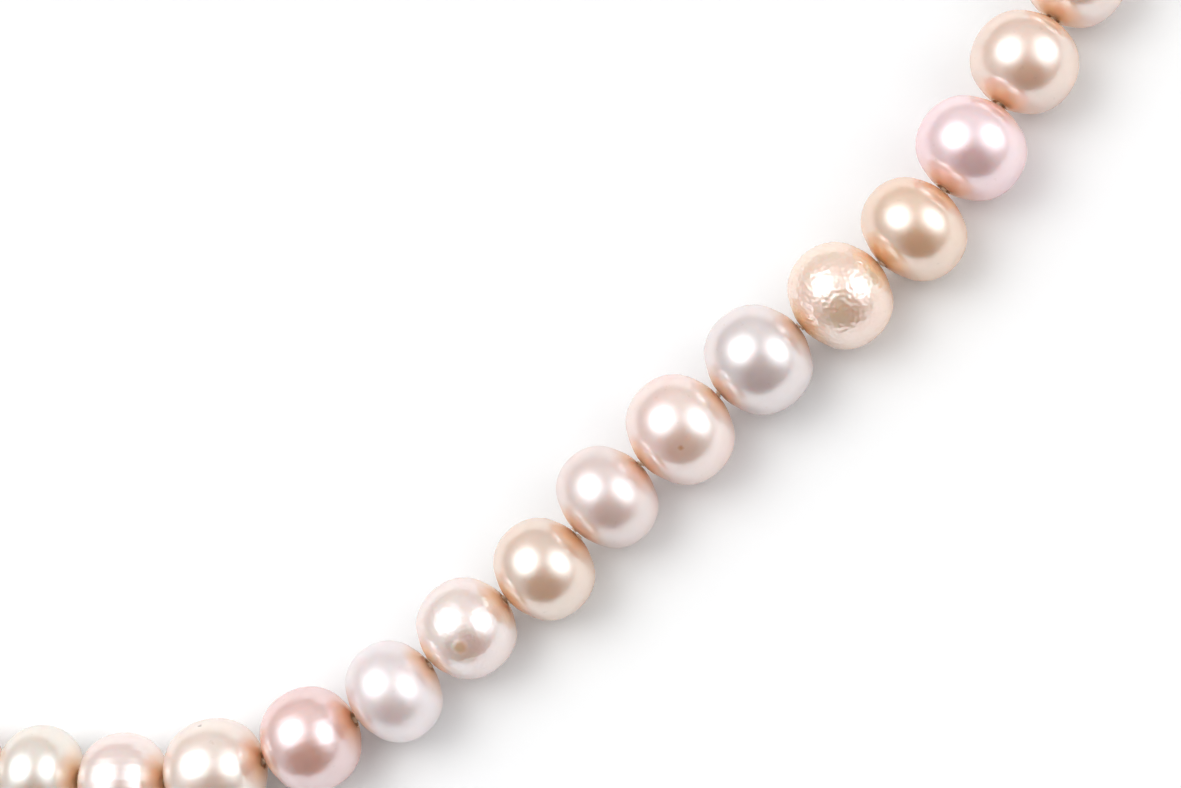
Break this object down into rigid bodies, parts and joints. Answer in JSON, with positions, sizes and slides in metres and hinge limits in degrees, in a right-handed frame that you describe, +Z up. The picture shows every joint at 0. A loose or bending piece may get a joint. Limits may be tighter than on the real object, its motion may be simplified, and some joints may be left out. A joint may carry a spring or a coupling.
{
  "type": "pearl necklace",
  "caption": "Single strand of touching near-round pearls on a silk thread, with a bead tip at each end, a lobster clasp and its ring, laid open in a wide U.",
  "frame": {"origin": "under the middle of the lay, on the surface it lies on", "axes": "+Z up from the surface; the strand lies in XY, its middle pearl towards -Y, its two ends towards +Y"},
  "size_m": [0.205, 0.1652, 0.0085],
  "materials": {
    "nacre_cream": "nacre, soft pearly lustre with a cream body colour",
    "nacre_pink": "nacre, soft pearly lustre with a pink overtone",
    "nacre_peach": "nacre, soft pearly lustre with a peach body colour",
    "nacre_mauve": "nacre, soft pearly lustre with a mauve body colour",
    "nacre_silver": "nacre, soft pearly lustre with a silver-grey body colour",
    "silver": "polished silver",
    "spring_steel": "drawn spring steel",
    "silk": "twisted silk, matt"
  },
  "bodies": {
    "pearl_01": {"pearl_01": "nacre_mauve"},
    "pearl_02": {"pearl_02": "nacre_cream"},
    "pearl_03": {"pearl_03": "nacre_mauve"},
    "pearl_04": {"pearl_04": "nacre_pink"},
    "pearl_05": {"pearl_05": "nacre_silver"},
    "pearl_06": {"pearl_06": "nacre_peach"},
    "pearl_07": {"pearl_07": "nacre_peach"},
    "pearl_08": {"pearl_08": "nacre_pink"},
    "pearl_09": {"pearl_09": "nacre_cream"},
    "pearl_10": {"pearl_10": "nacre_peach"},
    "pearl_11": {"pearl_11": "nacre_cream"},
    "pearl_12": {"pearl_12": "nacre_pink"},
    "pearl_13": {"pearl_13": "nacre_cream"},
    "pearl_14": {"pearl_14": "nacre_mauve"},
    "pearl_15": {"pearl_15": "nacre_pink"},
    "pearl_16": {"pearl_16": "nacre_mauve"},
    "pearl_17": {"pearl_17": "nacre_cream"},
    "pearl_18": {"pearl_18": "nacre_mauve"},
    "pearl_19": {"pearl_19": "nacre_pink"},
    "pearl_20": {"pearl_20": "nacre_silver"},
    "pearl_21": {"pearl_21": "nacre_peach"},
    "pearl_22": {"pearl_22": "nacre_peach"},
    "pearl_23": {"pearl_23": "nacre_pink"},
    "pearl_24": {"pearl_24": "nacre_cream"},
    "pearl_25": {"pearl_25": "nacre_peach"},
    "pearl_26": {"pearl_26": "nacre_cream", "silk_thread": "silk"},
    "pearl_27": {"pearl_27": "nacre_pink"},
    "pearl_28": {"pearl_28": "nacre_cream"},
    "pearl_29": {"pearl_29": "nacre_mauve"},
    "pearl_30": {"pearl_30": "nacre_pink"},
    "pearl_31": {"pearl_31": "nacre_mauve"},
    "pearl_32": {"pearl_32": "nacre_cream"},
    "pearl_33": {"pearl_33": "nacre_mauve"},
    "pearl_34": {"pearl_34": "nacre_pink"},
    "pearl_35": {"pearl_35": "nacre_silver"},
    "pearl_36": {"pearl_36": "nacre_peach"},
    "pearl_37": {"pearl_37": "nacre_peach"},
    "pearl_38": {"pearl_38": "nacre_pink"},
    "pearl_39": {"pearl_39": "nacre_cream"},
    "pearl_40": {"pearl_40": "nacre_peach"},
    "pearl_41": {"pearl_41": "nacre_cream"},
    "pearl_42": {"pearl_42": "nacre_pink"},
    "pearl_43": {"pearl_43": "nacre_cream"},
    "pearl_44": {"pearl_44": "nacre_mauve"},
    "pearl_45": {"pearl_45": "nacre_pink"},
    "pearl_46": {"pearl_46": "nacre_mauve"},
    "pearl_47": {"pearl_47": "nacre_cream"},
    "pearl_48": {"pearl_48": "nacre_mauve"},
    "pearl_49": {"pearl_49": "nacre_pink"},
    "pearl_50": {"pearl_50": "nacre_silver"},
    "pearl_51": {"pearl_51": "nacre_peach"},
    "bead_tip_left": {"bead_tip_left": "silver"},
    "jump_ring": {"jump_ring": "silver"},
    "clasp": {"clasp_body": "silver", "clasp_pivot_pin": "spring_steel", "clasp_spring": "spring_steel"},
    "clasp_lever": {"clasp_lever": "silver"},
    "bead_tip_right": {"bead_tip_right": "silver"},
    "end_ring": {"end_ring": "silver"}
  },
  "joints": [
    {"name": "strand_bend_26_27", "type": "hinge", "parent": "pearl_26", "child": "pearl_27", "pos_m": [0.00643, -0.07847, 0.0038], "axis": [0, 0, 1], "range_deg": [-20, 20], "deforming": ["silk_thread"]},
    {"name": "strand_bend_27_28", "type": "hinge", "parent": "pearl_27", "child": "pearl_28", "pos_m": [0.01345, -0.07859, 0.0039], "axis": [0, 0, 1], "range_deg": [-20, 20], "deforming": ["silk_thread"]},
    {"name": "strand_bend_28_29", "type": "hinge", "parent": "pearl_28", "child": "pearl_29", "pos_m": [0.02133, -0.0772, 0.00402], "axis": [0, 0, 1], "range_deg": [-20, 20], "deforming": ["silk_thread"]},
    {"name": "strand_bend_29_30", "type": "hinge", "parent": "pearl_29", "child": "pearl_30", "pos_m": [0.02839, -0.07435, 0.00398], "axis": [0, 0, -1], "range_deg": [-20, 20], "deforming": ["silk_thread"]},
    {"name": "strand_bend_30_31", "type": "hinge", "parent": "pearl_30", "child": "pearl_31", "pos_m": [0.03415, -0.07053, 0.0039], "axis": [0, 0, -1], "range_deg": [-20, 20], "deforming": ["silk_thread"]},
    {"name": "strand_bend_31_32", "type": "hinge", "parent": "pearl_31", "child": "pearl_32", "pos_m": [0.0401, -0.06605, 0.0039], "axis": [0, 0, -1], "range_deg": [-20, 20], "deforming": ["silk_thread"]},
    {"name": "strand_bend_32_33", "type": "hinge", "parent": "pearl_32", "child": "pearl_33", "pos_m": [0.04554, -0.06132, 0.004], "axis": [0, 0, 1], "range_deg": [-20, 20], "deforming": ["silk_thread"]},
    {"name": "strand_bend_33_34", "type": "hinge", "parent": "pearl_33", "child": "pearl_34", "pos_m": [0.05065, -0.05648, 0.00415], "axis": [0, 0, 1], "range_deg": [-20, 20], "deforming": ["silk_thread"]},
    {"name": "strand_bend_34_35", "type": "hinge", "parent": "pearl_34", "child": "pearl_35", "pos_m": [0.05658, -0.0515, 0.00422], "axis": [0, 0, 1], "range_deg": [-20, 20], "deforming": ["silk_thread"]},
    {"name": "strand_bend_35_36", "type": "hinge", "parent": "pearl_35", "child": "pearl_36", "pos_m": [0.06277, -0.04667, 0.00417], "axis": [0, 0, -1], "range_deg": [-20, 20], "deforming": ["silk_thread"]},
    {"name": "strand_bend_36_37", "type": "hinge", "parent": "pearl_36", "child": "pearl_37", "pos_m": [0.06871, -0.04202, 0.00415], "axis": [0, 0, -1], "range_deg": [-20, 20], "deforming": ["silk_thread"]},
    {"name": "strand_bend_37_38", "type": "hinge", "parent": "pearl_37", "child": "pearl_38", "pos_m": [0.0736, -0.03687, 0.00417], "axis": [0, 0, -1], "range_deg": [-20, 20], "deforming": ["silk_thread"]},
    {"name": "strand_bend_38_39", "type": "hinge", "parent": "pearl_38", "child": "pearl_39", "pos_m": [0.07799, -0.03061, 0.00415], "axis": [0, 0, 1], "range_deg": [-20, 20], "deforming": ["silk_thread"]},
    {"name": "strand_bend_39_40", "type": "hinge", "parent": "pearl_39", "child": "pearl_40", "pos_m": [0.0821, -0.02415, 0.004], "axis": [0, 0, 1], "range_deg": [-20, 20], "deforming": ["silk_thread"]},
    {"name": "strand_bend_40_41", "type": "hinge", "parent": "pearl_40", "child": "pearl_41", "pos_m": [0.08602, -0.01736, 0.00387], "axis": [0, 0, 1], "range_deg": [-20, 20], "deforming": ["silk_thread"]},
    {"name": "strand_bend_41_42", "type": "hinge", "parent": "pearl_41", "child": "pearl_42", "pos_m": [0.08893, -0.01139, 0.0038], "axis": [0, 0, -1], "range_deg": [-20, 20], "deforming": ["silk_thread"]},
    {"name": "strand_bend_42_43", "type": "hinge", "parent": "pearl_42", "child": "pearl_43", "pos_m": [0.09151, -0.00484, 0.0039], "axis": [0, 0, -1], "range_deg": [-20, 20], "deforming": ["silk_thread"]},
    {"name": "strand_bend_43_44", "type": "hinge", "parent": "pearl_43", "child": "pearl_44", "pos_m": [0.09387, 0.00286, 0.00402], "axis": [0, 0, -1], "range_deg": [-20, 20], "deforming": ["silk_thread"]},
    {"name": "strand_bend_44_45", "type": "hinge", "parent": "pearl_44", "child": "pearl_45", "pos_m": [0.09565, 0.0103, 0.00398], "axis": [0, 0, 1], "range_deg": [-20, 20], "deforming": ["silk_thread"]},
    {"name": "strand_bend_45_46", "type": "hinge", "parent": "pearl_45", "child": "pearl_46", "pos_m": [0.09686, 0.01714, 0.0039], "axis": [0, 0, 1], "range_deg": [-20, 20], "deforming": ["silk_thread"]},
    {"name": "strand_bend_46_47", "type": "hinge", "parent": "pearl_46", "child": "pearl_47", "pos_m": [0.0977, 0.02454, 0.0039], "axis": [0, 0, 1], "range_deg": [-20, 20], "deforming": ["silk_thread"]},
    {"name": "strand_bend_47_48", "type": "hinge", "parent": "pearl_47", "child": "pearl_48", "pos_m": [0.09814, 0.03177, 0.004], "axis": [0, 0, -1], "range_deg": [-20, 20], "deforming": ["silk_thread"]},
    {"name": "strand_bend_48_49", "type": "hinge", "parent": "pearl_48", "child": "pearl_49", "pos_m": [0.09827, 0.03882, 0.00415], "axis": [0, 0, -1], "range_deg": [-20, 20], "deforming": ["silk_thread"]},
    {"name": "strand_bend_49_50", "type": "hinge", "parent": "pearl_49", "child": "pearl_50", "pos_m": [0.09813, 0.04657, 0.00422], "axis": [0, 0, -1], "range_deg": [-20, 20], "deforming": ["silk_thread"]},
    {"name": "strand_bend_50_51", "type": "hinge", "parent": "pearl_50", "child": "pearl_51", "pos_m": [0.09779, 0.05441, 0.00417], "axis": [0, 0, 1], "range_deg": [-20, 20], "deforming": ["silk_thread"]},
    {"name": "strand_bend_25_26", "type": "hinge", "parent": "pearl_26", "child": "pearl_25", "pos_m": [-0.0002, -0.07789, 0.00387], "axis": [0, 0, -1], "range_deg": [-20, 20], "deforming": ["silk_thread"]},
    {"name": "strand_bend_24_25", "type": "hinge", "parent": "pearl_25", "child": "pearl_24", "pos_m": [-0.00798, -0.07694, 0.004], "axis": [0, 0, -1], "range_deg": [-20, 20], "deforming": ["silk_thread"]},
    {"name": "strand_bend_23_24", "type": "hinge", "parent": "pearl_24", "child": "pearl_23", "pos_m": [-0.01538, -0.07509, 0.00415], "axis": [0, 0, -1], "range_deg": [-20, 20], "deforming": ["silk_thread"]},
    {"name": "strand_bend_22_23", "type": "hinge", "parent": "pearl_23", "child": "pearl_22", "pos_m": [-0.02246, -0.07223, 0.00417], "axis": [0, 0, 1], "range_deg": [-20, 20], "deforming": ["silk_thread"]},
    {"name": "strand_bend_21_22", "type": "hinge", "parent": "pearl_22", "child": "pearl_21", "pos_m": [-0.0287, -0.06877, 0.00415], "axis": [0, 0, 1], "range_deg": [-20, 20], "deforming": ["silk_thread"]},
    {"name": "strand_bend_20_21", "type": "hinge", "parent": "pearl_21", "child": "pearl_20", "pos_m": [-0.03488, -0.06444, 0.00417], "axis": [0, 0, 1], "range_deg": [-20, 20], "deforming": ["silk_thread"]},
    {"name": "strand_bend_19_20", "type": "hinge", "parent": "pearl_20", "child": "pearl_19", "pos_m": [-0.04089, -0.0594, 0.00422], "axis": [0, 0, -1], "range_deg": [-20, 20], "deforming": ["silk_thread"]},
    {"name": "strand_bend_18_19", "type": "hinge", "parent": "pearl_19", "child": "pearl_18", "pos_m": [-0.04646, -0.05402, 0.00415], "axis": [0, 0, -1], "range_deg": [-20, 20], "deforming": ["silk_thread"]},
    {"name": "strand_bend_17_18", "type": "hinge", "parent": "pearl_18", "child": "pearl_17", "pos_m": [-0.05145, -0.04904, 0.004], "axis": [0, 0, -1], "range_deg": [-20, 20], "deforming": ["silk_thread"]},
    {"name": "strand_bend_16_17", "type": "hinge", "parent": "pearl_17", "child": "pearl_16", "pos_m": [-0.05648, -0.04382, 0.0039], "axis": [0, 0, 1], "range_deg": [-20, 20], "deforming": ["silk_thread"]},
    {"name": "strand_bend_15_16", "type": "hinge", "parent": "pearl_16", "child": "pearl_15", "pos_m": [-0.06137, -0.0382, 0.0039], "axis": [0, 0, 1], "range_deg": [-20, 20], "deforming": ["silk_thread"]},
    {"name": "strand_bend_14_15", "type": "hinge", "parent": "pearl_15", "child": "pearl_14", "pos_m": [-0.06588, -0.03292, 0.00398], "axis": [0, 0, 1], "range_deg": [-20, 20], "deforming": ["silk_thread"]},
    {"name": "strand_bend_13_14", "type": "hinge", "parent": "pearl_14", "child": "pearl_13", "pos_m": [-0.07074, -0.02702, 0.00402], "axis": [0, 0, -1], "range_deg": [-20, 20], "deforming": ["silk_thread"]},
    {"name": "strand_bend_12_13", "type": "hinge", "parent": "pearl_13", "child": "pearl_12", "pos_m": [-0.07553, -0.02055, 0.0039], "axis": [0, 0, -1], "range_deg": [-20, 20], "deforming": ["silk_thread"]},
    {"name": "strand_bend_11_12", "type": "hinge", "parent": "pearl_12", "child": "pearl_11", "pos_m": [-0.07942, -0.01467, 0.0038], "axis": [0, 0, -1], "range_deg": [-20, 20], "deforming": ["silk_thread"]},
    {"name": "strand_bend_10_11", "type": "hinge", "parent": "pearl_11", "child": "pearl_10", "pos_m": [-0.08285, -0.00897, 0.00387], "axis": [0, 0, 1], "range_deg": [-20, 20], "deforming": ["silk_thread"]},
    {"name": "strand_bend_09_10", "type": "hinge", "parent": "pearl_10", "child": "pearl_09", "pos_m": [-0.08653, -0.00205, 0.004], "axis": [0, 0, 1], "range_deg": [-20, 20], "deforming": ["silk_thread"]},
    {"name": "strand_bend_08_09", "type": "hinge", "parent": "pearl_09", "child": "pearl_08", "pos_m": [-0.0897, 0.00491, 0.00415], "axis": [0, 0, 1], "range_deg": [-20, 20], "deforming": ["silk_thread"]},
    {"name": "strand_bend_07_08", "type": "hinge", "parent": "pearl_08", "child": "pearl_07", "pos_m": [-0.09244, 0.01205, 0.00417], "axis": [0, 0, -1], "range_deg": [-20, 20], "deforming": ["silk_thread"]},
    {"name": "strand_bend_06_07", "type": "hinge", "parent": "pearl_07", "child": "pearl_06", "pos_m": [-0.09453, 0.01888, 0.00415], "axis": [0, 0, -1], "range_deg": [-20, 20], "deforming": ["silk_thread"]},
    {"name": "strand_bend_05_06", "type": "hinge", "parent": "pearl_06", "child": "pearl_05", "pos_m": [-0.09623, 0.02624, 0.00417], "axis": [0, 0, -1], "range_deg": [-20, 20], "deforming": ["silk_thread"]},
    {"name": "strand_bend_04_05", "type": "hinge", "parent": "pearl_05", "child": "pearl_04", "pos_m": [-0.09745, 0.03399, 0.00422], "axis": [0, 0, 1], "range_deg": [-20, 20], "deforming": ["silk_thread"]},
    {"name": "strand_bend_03_04", "type": "hinge", "parent": "pearl_04", "child": "pearl_03", "pos_m": [-0.0982, 0.0417, 0.00415], "axis": [0, 0, 1], "range_deg": [-20, 20], "deforming": ["silk_thread"]},
    {"name": "strand_bend_02_03", "type": "hinge", "parent": "pearl_03", "child": "pearl_02", "pos_m": [-0.0985, 0.04874, 0.004], "axis": [0, 0, 1], "range_deg": [-20, 20], "deforming": ["silk_thread"]},
    {"name": "strand_bend_01_02", "type": "hinge", "parent": "pearl_02", "child": "pearl_01", "pos_m": [-0.0985, 0.05599, 0.0039], "axis": [0, 0, -1], "range_deg": [-20, 20], "deforming": ["silk_thread"]},
    {"name": "bead_tip_left_swing", "type": "hinge", "parent": "pearl_01", "child": "bead_tip_left", "pos_m": [-0.09837, 0.06348, 0.00385], "axis": [0, 0, 1], "range_deg": [-30, 30], "deforming": ["silk_thread"]},
    {"name": "bead_tip_right_swing", "type": "hinge", "parent": "pearl_51", "child": "bead_tip_right", "pos_m": [0.09739, 0.062, 0.00415], "axis": [0, 0, 1], "range_deg": [-30, 30], "deforming": ["silk_thread"]},
    {"name": "jump_ring_swing", "type": "hinge", "parent": "bead_tip_left", "child": "jump_ring", "pos_m": [-0.09829, 0.06792, 0.00237], "axis": [0, 0, 1], "range_deg": [-35, 35]},
    {"name": "clasp_swing", "type": "hinge", "parent": "jump_ring", "child": "clasp", "pos_m": [-0.09768, 0.07194, 0.0012], "axis": [0, 0, 1], "range_deg": [-35, 35]},
    {"name": "clasp_lever_hinge", "type": "hinge", "parent": "clasp", "child": "clasp_lever", "pos_m": [-0.09882, 0.07511, 0.0012], "axis": [0, 0, 1], "range_deg": [-22, 0], "stiffness_Nm_per_rad": 0.004, "springref_deg": 20.05, "deforming": ["clasp_spring"]},
    {"name": "end_ring_swing", "type": "hinge", "parent": "bead_tip_right", "child": "end_ring", "pos_m": [0.09716, 0.06643, 0.00267], "axis": [0, 0, 1], "range_deg": [-35, 35]}
  ]
}
